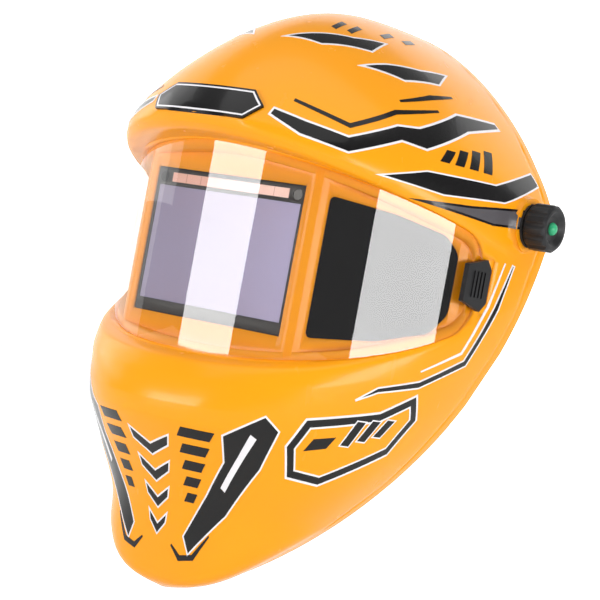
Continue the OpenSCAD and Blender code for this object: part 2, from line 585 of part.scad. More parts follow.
// Slot with teeth along its upper edge, in the plane of the strip
module rack_slot() {
    n = floor(rack_x / rack_pitch);
    translate([-rack_x, -pinion_r - 1.6]) square([2 * rack_x, 2 * pinion_r + 1.6 - tooth_h]);
    for (i = [-n:n]) translate([i * rack_pitch, pinion_r]) polygon([
        [-rack_pitch * 0.36, -tooth_h - 0.01], [-rack_pitch * 0.2, tooth_h + 0.25],
        [rack_pitch * 0.2, tooth_h + 0.25], [rack_pitch * 0.36, -tooth_h - 0.01]]);
}
module band_tail(s) color([0.12, 0.12, 0.13]) at_nape() {
    on_side(s) {
        linear_extrude(rail_h - 4, center = true) ring_part(tail_start, 24, -tail_t - gap, tail_t);
        linear_extrude(rail_h - 4, center = true) polygon(concat(
            [for (i = [0:14]) ring_xy(mix(22, tail_end, i / 14), -tail_t - gap)],
            [[flat_x - 2, abs(tail_y(s))], [flat_x - 2, abs(tail_y(s)) + tail_t]],
            [for (i = [13:-1:0]) ring_xy(mix(22, tail_end, i / 14), -gap)]));
    }
    translate([0, tail_y(s) + tail_t, 0]) rotate([90, 0, 0]) linear_extrude(tail_t) difference() {
        translate([s > 0 ? 5 - flat_x : -flat_x, -tail_h / 2]) square([2 * flat_x - 5, tail_h]);
        scale([1, s]) rack_slot();
    }
}
// Pinion between the two racks; a tooth rises from its root at -1 to its tip at 1
tooth = [[-0.24, -1], [-0.08, 1], [0.08, 1], [0.24, -1]];
tooth_play = 0.12;
shaft_r = 3;
module ratchet_pinion() color([0.75, 0.75, 0.72])
    at_nape() translate([0, tail_y(1) - 0.2, 0]) rotate([-90, 0, 0]) difference() {
        linear_extrude(2 * tail_t + gap + 0.4) polygon([for (i = [0:pinion_teeth - 1], p = tooth)
            let (a = 90 + 360 * (i + p[0]) / pinion_teeth, r = pinion_r + tooth_h * p[1] - tooth_play)
            r * [cos(a), sin(a)]]);
        translate([0, 0, -1]) cylinder(h = 10, r = shaft_r + fit, $fn = 32);
    }
housing_w = 2 * flat_x - 1;
housing_h = tail_h + 9;
housing_y = tail_y(-1) + tail_t + gap;
housing_r = 8;
knob_gap = 0.4;
boss_l = 4.5;
module housing_plan(g = 0) offset(r = housing_r - g)
    square([housing_w - 2 * housing_r, housing_h - 2 * housing_r], center = true);
// Inner half: back plate with an upper and a lower wall that guide the racks
plate_t = 2.6;
module ratchet_plate() color([0.14, 0.14, 0.15])
    at_nape() translate([0, housing_y, 0]) rotate([90, 0, 0]) difference() {
        linear_extrude(housing_y - tail_y(1) + plate_t) housing_plan();
        translate([-housing_w, -tail_h / 2 - gap, -1])
            cube([2 * housing_w, tail_h + 2 * gap, housing_y - tail_y(1) + 1 + gap]);
        translate([0, 0, 1]) cylinder(h = 20, r = shaft_r + fit, $fn = 32);
    }
// Outer half: cover with a round boss for the knob's shaft
module ratchet_cover() color([0.1, 0.1, 0.1])
    at_nape() translate([0, housing_y + 0.1, 0]) rotate([-90, 0, 0]) difference() {
        union() {
            linear_extrude(2.4) housing_plan();
            cylinder(h = boss_l - 0.1, r = ratchet_d / 2 - 6, $fn = 60);
        }
        translate([0, 0, -1]) cylinder(h = 10, r = shaft_r + fit, $fn = 32);
    }
// Lobed adjusting knob with its shaft through the pinion
knob_start = housing_y + boss_l + knob_gap;
module ratchet_knob() color([0.08, 0.08, 0.08])
    at_nape() translate([0, knob_start, 0]) rotate([-90, 0, 0]) {
        difference() {
            rotate_extrude($fn = 72) polygon([[0, 0], [ratchet_d / 2 - 1.5, 0], [ratchet_d / 2, 1.5],
                [ratchet_d / 2, 11], [ratchet_d / 2 - 2, 13], [ratchet_d / 2 - 6, 13],
                [ratchet_d / 2 - 9, 11], [0, 11]]);
            for (a = [0:30:330]) rotate(a) translate([ratchet_d / 2 + 2.2, 0, -1])
                cylinder(h = 16, r = 4, $fn = 24);
        }
        translate([0, 0, tail_y(1) - 2 - knob_start]) cylinder(h = 12, r = shaft_r, $fn = 32);
    }
// Nape pad on the inner half of the housing
nape_t = 7;
module nape_pad() color([0.2, 0.2, 0.22])
    at_nape() translate([0, tail_y(1) - plate_t - gap, 0]) rotate([90, 0, 0])
        linear_extrude(nape_t) housing_plan(1);

shell();
cover_lens();
lens_latch(1);  // lens_latch_left
lens_latch(-1);  // lens_latch_right
side_window(1);  // side_window_left
side_window(-1);  // side_window_right
side_frame(1);  // side_frame_left
side_frame(-1);  // side_frame_right
adf_housing();
adf_glass();
solar_strip();
arc_sensors();
inner_cover();
adf_holder();
battery_trays();
battery_cells();
dial(dial_x[0]);  // shade_dial
dial(dial_x[1]);  // sensitivity_dial
dial(dial_x[2]);  // delay_dial
push_button(button_x[0]);  // test_button
push_button(button_x[1]);  // grind_button
tension_knob(1);  // tension_knob_left
tension_knob(-1);  // tension_knob_right
knob_cap(1);  // knob_cap_left
knob_cap(-1);  // knob_cap_right
pivot_bolt(1);  // pivot_bolt_left
pivot_bolt(-1);  // pivot_bolt_right
friction_washer(1);  // friction_washer_left
friction_washer(-1);  // friction_washer_right
tilt_stop(1);  // tilt_stop_left
tilt_stop(-1);  // tilt_stop_right
pivot_slider(1);  // pivot_slider_left
pivot_slider(-1);  // pivot_slider_right
front_band();
sweatband();
crown_strap(1);  // crown_strap_left
crown_strap(-1);  // crown_strap_right
strap_rivets();
band_tail(1);  // band_tail_left
band_tail(-1);  // band_tail_right
ratchet_plate();
ratchet_cover();
ratchet_pinion();
ratchet_knob();
nape_pad();
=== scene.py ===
import json
import math

import bmesh
import bpy
from mathutils import Matrix, Quaternion, Vector
from mathutils.bvhtree import BVHTree


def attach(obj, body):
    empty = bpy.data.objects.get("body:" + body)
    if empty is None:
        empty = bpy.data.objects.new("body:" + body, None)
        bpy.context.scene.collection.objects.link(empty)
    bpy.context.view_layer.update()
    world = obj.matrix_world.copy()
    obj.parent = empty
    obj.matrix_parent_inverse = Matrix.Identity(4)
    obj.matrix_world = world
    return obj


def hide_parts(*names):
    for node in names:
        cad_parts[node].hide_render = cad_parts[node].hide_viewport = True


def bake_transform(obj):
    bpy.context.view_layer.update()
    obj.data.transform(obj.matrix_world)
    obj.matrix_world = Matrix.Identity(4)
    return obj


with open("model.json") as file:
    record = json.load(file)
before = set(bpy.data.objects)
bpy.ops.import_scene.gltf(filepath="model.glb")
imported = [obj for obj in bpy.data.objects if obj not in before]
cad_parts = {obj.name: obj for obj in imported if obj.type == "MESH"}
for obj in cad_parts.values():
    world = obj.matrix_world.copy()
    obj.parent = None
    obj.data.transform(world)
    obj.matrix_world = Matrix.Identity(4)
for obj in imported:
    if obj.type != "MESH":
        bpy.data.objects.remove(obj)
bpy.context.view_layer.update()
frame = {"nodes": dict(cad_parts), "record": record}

# A welding helmet: a lofted shell with a recessed visor, a clear cover lens, a filter cartridge, dark side
# windows, tension knobs and a ratchet headgear. Lengths are in millimetres and MM makes them metres.
MM = 0.001
collection = bpy.context.scene.collection

# ---------------------------------------------------------------- camera
AIM = Vector((0, -79, -66.6)) * MM
AZIMUTH = math.radians(36)
ROLL = math.radians(10.5)
camera = bpy.data.objects.new("camera", bpy.data.cameras.new("camera"))
collection.objects.link(camera)
camera.data.lens = 105.6
camera.location = AIM + Vector((math.sin(AZIMUTH), -math.cos(AZIMUTH), 0))
camera.rotation_mode = "QUATERNION"
camera.rotation_quaternion = (AIM - camera.location).to_track_quat("-Z", "Y") @ Quaternion((0, 0, 1), ROLL)
bpy.context.scene.camera = camera

# ---------------------------------------------------------------- shell form, the part's own loft
# Shell: half width, crown height and drops from the head ring's centre, and reaches in front of it
HALF_W = 116
CROWN_H = 100
CHIN_DROP = 230
BROW_REACH = 200
CHIN_REACH = 196
LIP_REACH = 163
BROW_Z = 18.5
CREASE_DROP = 132.6
# Rear edge: its gap in front of the head ring's centre, and how far it runs forward down to the chin
RIM_GAP = 14
EDGE_RUN = 117
# Wall of the shell
SHELL_T = 2.5
# Cover lens: half axes of its plan, their centre, sweep to either side in degrees, heights, corners,
# thickness and the ledge that it seats on
LENS_A = 112
LENS_B = 120
LENS_BACK = 59
LENS_SWEEP = 82.5
LENS_TOP = 7.4
LENS_DROP = 102.6
LENS_FALL = 24
LENS_RISE = 33
LENS_CORNER = 13
LENS_T = 2
LEDGE_W = 4
# Pan behind the lens: its front wall, and the rear ends of its two side walls
PAN_FRONT = 161
PAN_HALF = 59
PAN_REAR_X = 106
PAN_REAR_Y = 79
# Filter cartridge, and the pivot with the fit of its bore
ADF_W = 108
ADF_H = 90
PIVOT_Y = 42
PIVOT_Z = -4
FIT = 0.05
LENS_FRONT = LENS_BACK + LENS_B
LENS_BOTTOM = -LENS_DROP
ADF_Z = (LENS_TOP + LENS_BOTTOM) / 2


def mix(a, b, f):
    return a + (b - a) * f


def edge_x(z):
    """Half width of the shell's rear edge at a height"""
    if z > 0:
        return HALF_W * max(0, 1 - (z / CROWN_H) ** 1.38) ** 0.64
    return HALF_W * max(0, 1 - (-z / (CHIN_DROP + 0.6)) ** 2.49) ** 0.742


def edge_y(z):
    """Place of the shell's rear edge along Y at a height"""
    if z > 0:
        return -RIM_GAP - 5 * min(1, z / 30)
    return -RIM_GAP - EDGE_RUN * (0.44 * -z / CHIN_DROP + 0.56 * (z / CHIN_DROP) ** 2)


# A station is (front z, front y, rear z, power of cos, power of sin, power of the rise to the rear)
CHIN = [
    (-CHIN_DROP, -LIP_REACH + 8, -CHIN_DROP + 2.6, 0.93, 0.87, 2),
    (-CHIN_DROP + 5, -LIP_REACH, -CHIN_DROP + 25.6, 0.63, 0.7, 2),
    (-CHIN_DROP + 19, -LIP_REACH - 2.5, -CHIN_DROP + 44.5, 0.72, 0.72, 2),
    (-CHIN_DROP + 44, -LIP_REACH - 7.5, -CHIN_DROP + 55, 0.8, 0.86, 2),
    (-CREASE_DROP - 31, -CHIN_REACH + 16, -CREASE_DROP - 8, 0.84, 0.9, 2),
    (-CREASE_DROP - 10, -CHIN_REACH + 3, -124, 0.88, 0.9, 2),
    (-CREASE_DROP - 3, -CHIN_REACH + 0.6, -115, 0.9, 0.9, 2),
    (-CREASE_DROP + 3, -CHIN_REACH + 0.3, -106, 0.9, 0.9, 2),
]
SHELF = [
    (LENS_BOTTOM - 14, -LENS_FRONT - 14, -76, 0.88, 0.88, 2.2),
    (LENS_BOTTOM - 6, -LENS_FRONT - 10, -56, 0.88, 0.88, 2.2),
    (LENS_BOTTOM - 3.4, -LENS_FRONT - 6.5, -50, 0.88, 0.88, 2.2),
    (LENS_BOTTOM - 1, -LENS_FRONT - 0.5, -44, 0.88, 0.88, 2.2),
]
VISOR = [
    (mix(LENS_BOTTOM, LENS_TOP, 0.4), -LENS_FRONT - 0.5, -36, 0.88, 0.88, 1.9),
    (LENS_TOP + 1, -LENS_FRONT - 0.5, -29, 0.88, 0.88, 1.6),
]
BROW = [
    (LENS_TOP + 1.6, -BROW_REACH + 10, -26, 0.88, 0.88, 1.6),
    (LENS_TOP + 3, -BROW_REACH + 4.5, -22, 0.88, 0.88, 1.6),
    (BROW_Z - 5, -BROW_REACH + 1, -15, 0.89, 0.88, 1.6),
]


def dome(f):
    """Station between the brow, 0, and the top of the crown, 1"""
    front_y = -RIM_GAP - 5 - (BROW_REACH - RIM_GAP - 5) * max(0, 1 - f ** 1.094) ** mix(0.36, 0.314, f)
    return (mix(BROW_Z, CROWN_H, f), front_y, mix(-6, CROWN_H, f), mix(0.9, 1, f), mix(0.9, 1, f), 1.6)


def between(before, start, end, after, f):
    """Value on a smooth curve through four values, at f from the second one to the third"""
    slope = end - before
    bend = 2 * before - 5 * start + 4 * end - after
    twist = 3 * start - before - 3 * end + after
    return 0.5 * (2 * start + slope * f + bend * f * f + twist * f ** 3)


def spline(stations, steps):
    """Stations on a smooth curve through the given ones"""
    out = []
    last = len(stations) - 1
    for i in range(last):
        near = [stations[min(last, max(0, k))] for k in (i - 1, i, i + 1, i + 2)]
        for step in range(steps):
            out.append(tuple(between(*values, step / steps) for values in zip(*near)))
    return out + [stations[last]]


def ring_point(station, q):
    """Point of a station's ring, q degrees round from the front: 90 is the rear edge on the wearer's left"""
    front_z, front_y, rear_z, cos_power, sin_power, rise = station
    rear_y = edge_y(rear_z)
    turn = abs(math.radians(q))
    return Vector((
        math.copysign(edge_x(rear_z) * abs(math.sin(turn)) ** sin_power, q),
        rear_y + (front_y - rear_y) * max(0, math.cos(turn)) ** cos_power,
        mix(front_z, rear_z, (abs(q) / 90) ** rise)))


# The last ring lies just below the crown's full height, where the solid's own last ring is
CROWN_SHARE = 0.998


def crown(steps):
    """Stations from the brow to the top"""
    return [dome(CROWN_SHARE * math.sin(math.radians(90 * i / steps))) for i in range(steps + 1)]


STATIONS = (spline(CHIN, 5) + spline(SHELF, 3) + spline(VISOR, 8) + spline(BROW, 4) + crown(40))
# Coarser stations for the inner skin, which would cross itself with finer ones
INNER_STATIONS = spline(CHIN, 2) + SHELF + spline(VISOR, 3) + spline(BROW, 2) + crown(16)
INNER_RING = [-90 + 180 * i / 44 for i in range(45)]
# Degrees round the ring, closer together near the rear edge
NEAR_RIM = [85.2, 86.3, 87.1, 87.7, 88.1, 88.45, 88.8, 89.1, 89.4, 89.7, 90]
HALF_RING = [2.8 * i for i in range(1, 31)] + NEAR_RIM
RING = [-q for q in reversed(HALF_RING)] + [0] + HALF_RING


# ---------------------------------------------------------------- mesh helpers
def finish_mesh(bm, name, materials, body, smooth_angle=35):
    """Makes a piece of the bmesh, in metres, shaded smooth across edges flatter than the angle"""
    bmesh.ops.scale(bm, verts=bm.verts, vec=(MM, MM, MM))
    mesh = bpy.data.meshes.new(name)
    for edge in bm.edges:
        edge.smooth = len(edge.link_faces) == 2 and edge.calc_face_angle(0) < math.radians(smooth_angle)
    for face in bm.faces:
        face.smooth = True
    bm.to_mesh(mesh)
    bm.free()
    piece = bpy.data.objects.new(name, mesh)
    collection.objects.link(piece)
    for material in materials:
        mesh.materials.append(material)
    if body:
        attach(piece, body)
    return piece


def loft(loops):
    """Closed skin over loops with equally many points, with both ends filled"""
    rows, cols = len(loops), len(loops[0]) + 1
    bm = bmesh.new()
    bmesh.ops.create_grid(bm, x_segments=cols - 1, y_segments=rows - 1, size=0.5)
    for v in bm.verts:
        col, row = round((v.co.x + 0.5) * (cols - 1)), round((v.co.y + 0.5) * (rows - 1))
        v.co = loops[row][col % len(loops[0])]
    bmesh.ops.remove_doubles(bm, verts=bm.verts, dist=0.004)
    bmesh.ops.holes_fill(bm, edges=[e for e in bm.edges if e.is_boundary])
    bmesh.ops.recalc_face_normals(bm, faces=bm.faces)
    return bm


def baked(piece):
    """Applies the piece's modifiers to its mesh"""
    mesh = bpy.data.meshes.new_from_object(piece.evaluated_get(bpy.context.evaluated_depsgraph_get()))
    piece.modifiers.clear()
    piece.data = mesh
    return piece


def carve(piece, cutters, operation="DIFFERENCE"):
    """Cuts the cutters from the piece, or joins them to it, and removes them"""
    for cutter in cutters:
        modifier = piece.modifiers.new("carve", "BOOLEAN")
        modifier.operation, modifier.solver, modifier.object = operation, "EXACT", cutter
    baked(piece)
    for cutter in cutters:
        bpy.data.objects.remove(cutter)
    return piece


def solid(bm, name):
    """Plain solid to carve with"""
    return finish_mesh(bm, name, [], None)


def block(low, high):
    """Box between two opposite corners"""
    bm = bmesh.new()
    bmesh.ops.create_cube(bm, size=1)
    size = [b - a for a, b in zip(low, high)]
    bmesh.ops.scale(bm, vec=size, verts=bm.verts)
    bmesh.ops.translate(bm, vec=[(a + b) / 2 for a, b in zip(low, high)], verts=bm.verts)
    return bm


def rod(centre, axis, radius, length, sides):
    """Cylinder that starts at centre and runs along the axis"""
    bm = bmesh.new()
    bmesh.ops.create_cone(bm, cap_ends=True, segments=sides, radius1=radius, radius2=radius, depth=length)
    bmesh.ops.translate(bm, vec=(0, 0, length / 2), verts=bm.verts)
    turn = Vector((0, 0, 1)).rotation_difference(Vector(axis)).to_matrix()
    bmesh.ops.transform(bm, matrix=Matrix.Translation(centre) @ turn.to_4x4(), verts=bm.verts)
    return bm


def new_verts(made):
    """The vertices that an operator made"""
    return [v for v in made["geom"] if isinstance(v, bmesh.types.BMVert)]


def mirrored(bm, side):
    """The same shape on the wearer's left, 1, or turned over to the right, -1"""
    if side < 0:
        bmesh.ops.scale(bm, vec=(-1, 1, 1), verts=bm.verts)
        bmesh.ops.reverse_faces(bm, faces=bm.faces)
    return bm


# ---------------------------------------------------------------- lens outline and visor recess
# Length of one degree round the lens, and the last degrees at either end, whose corners are round
DEGREE = LENS_A * math.pi / 180
CURL = 9


def lens_xy(q, off=0):
    """Plan of the lens, q degrees round from the front, moved outwards by off"""
    turn = math.radians(q)
    return Vector(((LENS_A + off) * math.sin(turn), -LENS_BACK - (LENS_B + off) * math.cos(turn), 0))


def lens_low(q):
    return LENS_BOTTOM + LENS_RISE * (abs(q) / 77) ** 2.2


def lens_high(q):
    return LENS_TOP - LENS_FALL * (abs(q) / 78) ** 1.6


SIDE_START = Vector((PAN_HALF, -PAN_FRONT + 3))
SIDE_END = Vector((PAN_REAR_X, -PAN_REAR_Y))
SIDE_DIR = (SIDE_END - SIDE_START).normalized()
SIDE_LEN = (SIDE_END - SIDE_START).length
SIDE_NORMAL = Vector((SIDE_DIR.y, -SIDE_DIR.x))


def pan_xy(q, depth=0):
    """Plan of the pan: a flat front wall and two angled side walls"""
    turn = math.radians(q)
    ray = Vector((LENS_A * abs(math.sin(turn)), -LENS_B * math.cos(turn)))
    front = (PAN_FRONT - LENS_BACK - depth) / max(-ray.y, 1e-6)
    side = (SIDE_NORMAL.dot(SIDE_START + Vector((0, LENS_BACK))) - depth) / max(SIDE_NORMAL.dot(ray), 1e-6)
    end = (PAN_REAR_X + 2 - depth) / max(ray.x, 1e-6)
    reach = min(front, side, end)
    return Vector((math.copysign(ray.x * reach, q), -LENS_BACK + ray.y * reach, 0))


def lens_angles(end):
    """Degrees round the lens from one end to the other, closer together at both ends"""
    flat = [i * (end - CURL) / 34 for i in range(35)]
    curl = [end - CURL * ((12 - i) / 12) ** 2 * 0.999 for i in range(1, 13)]
    half = flat + curl
    corner = math.degrees(math.atan2(PAN_HALF / LENS_A, (PAN_FRONT - LENS_BACK) / LENS_B))
    half = sorted(half + [corner - 0.6, corner, corner + 0.6])
    return [-q for q in reversed(half[1:])] + half


def slab_loops(near_plan, far_plan, grow):
    """Cross-sections between two plans, over the lens outline grown by so much"""
    end = LENS_SWEEP + grow / DEGREE
    radius = LENS_CORNER + grow
    loops = []
    for q in lens_angles(end):
        reach = (end - abs(q)) * DEGREE
        cut = radius - math.sqrt(max(0, radius ** 2 - (radius - reach) ** 2)) if reach < radius else 0
        low, high = lens_low(q) - grow + cut, lens_high(q) + grow - cut
        a, b = near_plan(q), far_plan(q)
        loops.append([Vector((a.x, a.y, low)), Vector((b.x, b.y, low)),
                      Vector((b.x, b.y, high)), Vector((a.x, a.y, high))])
    return loops


def visor_cutters(wall, grow, reach):
    """Seat of the lens and pan behind it, for the shell's outer face or, grown by the wall, its inner one"""
    seat = slab_loops(lambda q: lens_xy(q, -LENS_T - wall - 0.2), lambda q: lens_xy(q, reach), grow + 0.6)
    pan = slab_loops(lambda q: pan_xy(q, wall), lambda q: lens_xy(q, 1), grow - LEDGE_W)
    return [solid(loft(seat), "seat_cut"), solid(loft(pan), "pan_cut")]


# Outline of the side window on the pan's angled wall: along the wall from its front, and height
WIN_FRONT = 5
WIN_REAR = SIDE_LEN - 8
WINDOW_CORNER = 3
WINDOW = [
    (WIN_FRONT, lens_low(34) + 12), (mix(WIN_FRONT, WIN_REAR, 0.5), lens_low(48) + 10),
    (WIN_REAR - 9, lens_low(64) + 9), (WIN_REAR, lens_low(72) + 14), (WIN_REAR, lens_high(72) - 14),
    (WIN_REAR - 9, lens_high(64) - 9), (mix(WIN_FRONT, WIN_REAR, 0.5), lens_high(48) - 10),
    (WIN_FRONT, lens_high(34) - 12)]


def window_prism(grow, front, depth, side):
    """Prism of the window outline, from so far in front of the wall's face to so deep behind it"""
    bm = bmesh.new()
    bm.faces.new([bm.verts.new((x, -front, z)) for x, z in WINDOW])
    bmesh.ops.bevel(bm, geom=bm.verts[:], affect="VERTICES", offset=WINDOW_CORNER, segments=5, profile=0.5,
                    material=-1)
    bmesh.ops.inset_region(bm, faces=bm.faces[:], thickness=abs(grow), use_outset=grow > 0,
                           use_even_offset=True)
    if grow > 0:
        bmesh.ops.dissolve_faces(bm, faces=bm.faces[:], use_verts=False)
    else:
        inner = max(bm.faces, key=lambda f: len(f.verts))
        bmesh.ops.delete(bm, geom=[f for f in bm.faces if f != inner], context="FACES")
    made = bmesh.ops.extrude_face_region(bm, geom=bm.faces[:])
    bmesh.ops.translate(bm, vec=(0, front + depth, 0), verts=new_verts(made))
    bmesh.ops.recalc_face_normals(bm, faces=bm.faces)
    place = Matrix.Translation((SIDE_START.x, SIDE_START.y, 0))
    turn = Matrix.Rotation(math.atan2(SIDE_DIR.y, SIDE_DIR.x), 4, "Z")
    bmesh.ops.transform(bm, matrix=place @ turn, verts=bm.verts)
    return mirrored(bm, side)


# ---------------------------------------------------------------- finishes
class Value:
    """A shader socket that adds Math nodes where it is used in an expression"""

    def __init__(self, finish, socket):
        self.finish, self.socket = finish, socket

    def math(self, operation, *others):
        return self.finish.node("ShaderNodeMath", {"operation": operation}, dict(enumerate([self, *others])))

    def __add__(self, other):
        return self.math("ADD", other)

    def __sub__(self, other):
        return self.math("SUBTRACT", other)

    def __rsub__(self, other):
        return (self * -1) + other

    def __mul__(self, other):
        return self.math("MULTIPLY", other)

    __radd__, __rmul__ = __add__, __mul__

    def __abs__(self):
        return self.math("ABSOLUTE")

    def clamp(self):
        return self.math("MINIMUM", 1).math("MAXIMUM", 0)

    def repeat(self, period):
        return self.math("MODULO", period)


class Finish:
    """One material, with its Principled shader and the object's coordinates in millimetres"""

    def __init__(self, name, base, roughness, **settings):
        self.material = bpy.data.materials.new(name)
        self.material.use_nodes = True
        self.tree = self.material.node_tree
        self.shader = self.tree.nodes["Principled BSDF"]
        self.output = self.tree.nodes["Material Output"]
        self.set("Base Color", (*base, 1))
        self.set("Roughness", roughness)
        for socket, value in settings.items():
            self.set(socket.replace("_", " "), value)
        self.coords = self.node("ShaderNodeTexCoord", {}, {}, "Object")

    def put(self, socket, value):
        if isinstance(value, Value):
            self.tree.links.new(value.socket, socket)
        else:
            socket.default_value = value

    def set(self, name, value):
        self.put(self.shader.inputs[name], value)

    def node(self, kind, settings, inputs, output=0):
        node = self.tree.nodes.new(kind)
        for name, value in settings.items():
            setattr(node, name, value)
        for name, value in inputs.items():
            self.put(node.inputs[name], value)
        return Value(self, node.outputs[output])

    def axes(self):
        """X, Y and Z in millimetres"""
        return [self.node("ShaderNodeSeparateXYZ", {}, {0: self.coords}, i) * 1000 for i in range(3)]

    def noise(self, scale, detail=3, stretch=(1, 1, 1)):
        """Noise from 0 to 1; the scale is in features per metre"""
        place = self.node("ShaderNodeMapping", {}, {"Vector": self.coords, "Scale": stretch})
        return self.node("ShaderNodeTexNoise", {}, {"Vector": place, "Scale": scale, "Detail": detail})

    def blend(self, mask, a, b):
        """Colour a where the mask is 0, and b where it is 1"""
        factor, colour_a, colour_b, result = 0, 6, 7, 2
        return self.node("ShaderNodeMix", {"data_type": "RGBA"},
                         {factor: mask, colour_a: (*a, 1), colour_b: (*b, 1)}, result)

    def bump(self, height, distance):
        """Relief of a height from 0 to 1 over a distance in millimetres"""
        inputs = {"Height": height, "Distance": distance * MM, "Strength": 1}
        self.set("Normal", self.node("ShaderNodeBump", {}, inputs))


def paint(name, base, shade, roughness=0.24, coat=0.06, specular=0.2):
    """Glossy moulded and lacquered plastic with faint flow marks, orange peel and scuffs"""
    made = Finish(name, base, roughness, Coat_Weight=coat, Coat_Roughness=0.03, Specular_IOR_Level=specular)
    flow = made.noise(9, 2, (1, 1, 0.4))
    made.set("Base Color", made.blend((flow * 1.6 - 0.45).clamp(), base, shade))
    scuff = made.noise(160, 5, (1, 1, 0.15))
    made.set("Roughness", (scuff - 0.62).clamp() * 0.5 + roughness)
    made.bump(made.noise(420, 1), 0.012)
    return made.material


def moulded(name, base, roughness=0.42, grain=900, depth=0.03):
    """Satin moulded plastic with a fine spark-eroded grain"""
    made = Finish(name, base, roughness, Specular_IOR_Level=0.25)
    cloud = made.noise(45, 3)
    made.set("Base Color", made.blend(cloud, base, tuple(min(1, c * 1.35 + 0.004) for c in base)))
    made.set("Roughness", cloud * 0.16 + (roughness - 0.08))
    made.bump(made.noise(grain, 2), depth)
    return made.material


def metal(name, base):
    """Brushed metal"""
    made = Finish(name, base, 0.3, Metallic=1.0)
    brush = made.noise(900, 2, (1, 0.05, 1))
    made.set("Roughness", brush * 0.2 + 0.2)
    made.bump(brush, 0.01)
    return made.material


def clear_sheet(name, recess_shade_tint):
    """Clear polycarbonate: it shows what is behind it through a tint that is painted shade for the recess,
    and reflects more at a flat angle
    """
    face_on, flat_angle = 0.038, 0.4
    made = Finish(name, (0, 0, 0), 0.02, Specular_IOR_Level=1.0)
    gloss = made.node("ShaderNodeBsdfGlossy", {}, {"Color": (1, 1, 1, 1), "Roughness": 0.015})
    # The tint is painted shade: it darkens the visor recess and all else seen through the lens
    through = made.node("ShaderNodeBsdfTransparent", {}, {"Color": (*recess_shade_tint, 1)})
    facing = made.node("ShaderNodeLayerWeight", {}, {"Blend": 0.28}, 0)
    haze = made.noise(14, 2) * 0.01
    outer = 1 - made.node("ShaderNodeNewGeometry", {}, {}, "Backfacing")
    share = (facing * flat_angle + (face_on + haze)).clamp() * outer
    mixed = made.node("ShaderNodeMixShader", {}, {0: share, 1: through, 2: gloss})
    made.put(made.output.inputs["Surface"], mixed)
    return made.material


def filter_glass(name):
    """Liquid-crystal filter: lavender with a matt coating, plus a painted reflection that makes it lighter
    and bluer towards the wearer's left
    """
    made = Finish(name, (0.33, 0.33, 0.6), 0.3, Specular_IOR_Level=0.12)
    x, _, z = made.axes()
    # Painted reflection: the glass turns lighter and bluer towards the wearer's left
    side = ((x + z * 0.25 + 40) * 0.011).clamp()
    made.set("Base Color", made.blend(side, (0.33, 0.31, 0.47), (0.47, 0.45, 0.72)))
    return made.material


def solar_cells(name):
    """Rose-coloured solar strip, parted into cells by fine lines"""
    made = Finish(name, (0.72, 0.40, 0.33), 0.25, Coat_Weight=0.5, Coat_Roughness=0.05)
    x, _, _ = made.axes()
    line = ((abs((x + 400).repeat(10) - 5) - 4.75) * 6).clamp()
    made.set("Base Color", made.blend(line, (0.78, 0.45, 0.38), (0.42, 0.20, 0.17)))
    return made.material


def knitted(name, base):
    """Knitted cover over foam: rows of small stitches, with painted shade in the gaps between them and
    painted highlights on their tops
    """
    made = Finish(name, base, 0.95, Sheen_Weight=0.35)
    x, y, z = made.axes()
    row = abs((z + 400).repeat(1.6) - 0.8) * 1.25
    column = abs((x + y * 0.8 + row * 0.5 + 400).repeat(1.4) - 0.7) * 1.4
    stitch = (row * column).clamp()
    fluff = made.noise(700, 3)
    # Colour follows the stitch relief: painted shade in the gaps and painted highlights on the tops, mixed
    # with random fluff tone
    made.set("Base Color", made.blend((stitch * 0.7 + fluff * 0.3).clamp(), tuple(c * 0.45 for c in base),
                                      tuple(min(1, c * 1.6) for c in base)))
    made.bump(stitch + fluff * 0.3, 0.35)
    return made.material


ORANGE, ORANGE_SHADE = (0.96, 0.365, 0.006), (0.94, 0.34, 0.005)
BLACK = (0.012, 0.012, 0.013)
LOOKS = {
    "shell_gloss": paint("orange_gloss", ORANGE, ORANGE_SHADE),
    "inside": moulded("orange_inside", (0.62, 0.22, 0.01), 0.5),
    "print_black": paint("print_black", (0.004, 0.004, 0.004), (0.009, 0.008, 0.009), 0.2, 0.15, 0.2),
    "print_white": paint("print_white", (0.86, 0.85, 0.87), (0.76, 0.74, 0.78), 0.2),
    "print_grey": paint("print_grey", (0.12, 0.11, 0.12), (0.05, 0.05, 0.055), 0.22, 0.15, 0.2),
    # The lens's tint is painted shade: it darkens the visor recess seen through it
    "clear_lens": clear_sheet("clear_lens", (0.96, 0.95, 0.935)),
    "black_plastic": moulded("black_satin", BLACK),
    "dark_window": paint("dark_window", (0.002, 0.002, 0.003), (0.004, 0.004, 0.005), 0.3, 0.0, 0.01),
    "filter_case": moulded("filter_case", (0.02, 0.02, 0.022), 0.35),
    "filter_glass": filter_glass("filter_glass"),
    "solar_cell": solar_cells("solar_cells"),
    "sensor": paint("sensor_window", (0.006, 0.006, 0.008), (0.01, 0.01, 0.014), 0.08),
    "grey_plastic": moulded("grey_satin", (0.06, 0.06, 0.063)),
    "cell_steel": metal("cell_steel", (0.62, 0.62, 0.6)),
    "dial_plastic": moulded("dial_satin", (0.03, 0.03, 0.032), 0.38),
    "red_button": moulded("button_red", (0.5, 0.03, 0.02), 0.3),
    "green_plastic": moulded("dome_green", (0.03, 0.36, 0.16), 0.22, 500, 0.01),
    "washer_rubber": moulded("washer_rubber", (0.02, 0.02, 0.02), 0.75),
    "band_plastic": moulded("band_black", (0.016, 0.016, 0.017), 0.36),
    "pad_fabric": knitted("pad_knit", (0.045, 0.045, 0.05)),
    "rivet_metal": metal("rivet_steel", (0.55, 0.55, 0.56)),
}
SLOTS = {part["node"]: part["material_slot"] for part in frame["record"]["subparts"]}
BODY = {node: body for body, nodes in frame["record"]["behaviour"]["bodies"].items() for node in nodes}


